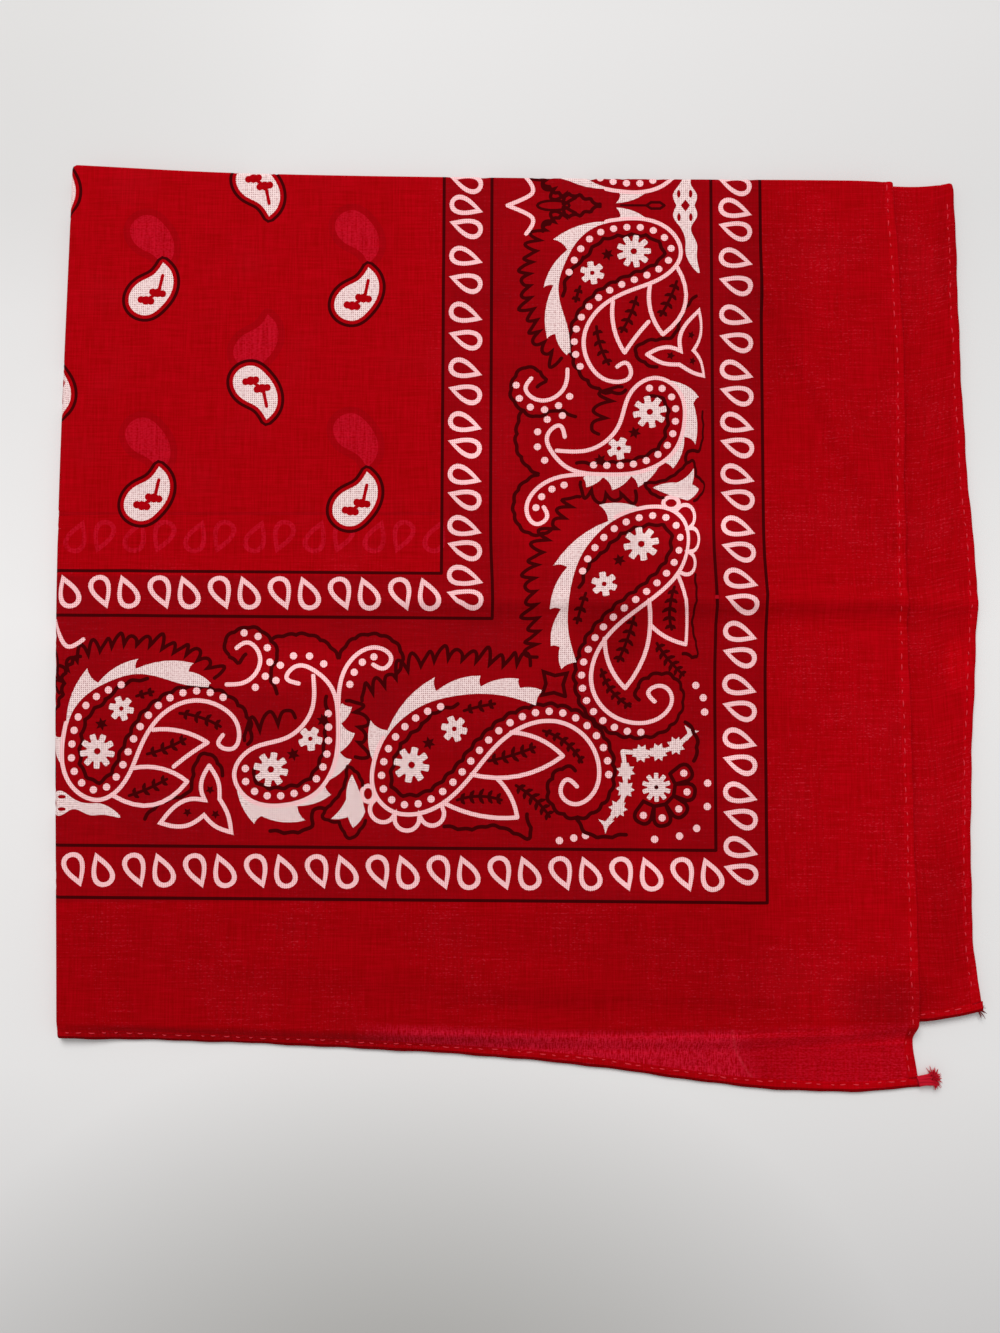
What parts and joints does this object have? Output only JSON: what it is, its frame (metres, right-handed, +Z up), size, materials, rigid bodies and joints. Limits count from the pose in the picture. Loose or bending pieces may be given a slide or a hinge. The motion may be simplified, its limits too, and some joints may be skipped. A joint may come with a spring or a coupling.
{
  "type": "folded bandana",
  "caption": "Square printed cotton bandana with narrow stitched hems, folded to a smaller square and lying flat.",
  "frame": {"origin": "on the table under the middle of the folded cloth's outline", "axes": "+Z up out of the visible printed side, +Y towards the back fold, +X away from the left fold, towards the open side"},
  "size_m": [0.2944, 0.2967, 0.006],
  "materials": {
    "printed_cotton": "plain woven cotton, matt, red with a dark red and white print",
    "hem_cotton": "the same cotton turned twice and stitched",
    "hem_thread": "red sewing thread, frayed"
  },
  "bodies": {
    "root": {"top_layer": "printed_cotton", "under_layers": "printed_cotton", "top_front_hem": "hem_cotton", "top_side_hem": "hem_cotton", "under_front_hem": "hem_cotton", "under_side_hem": "hem_cotton", "corner_tuft": "hem_thread"}
  },
  "joints": []
}
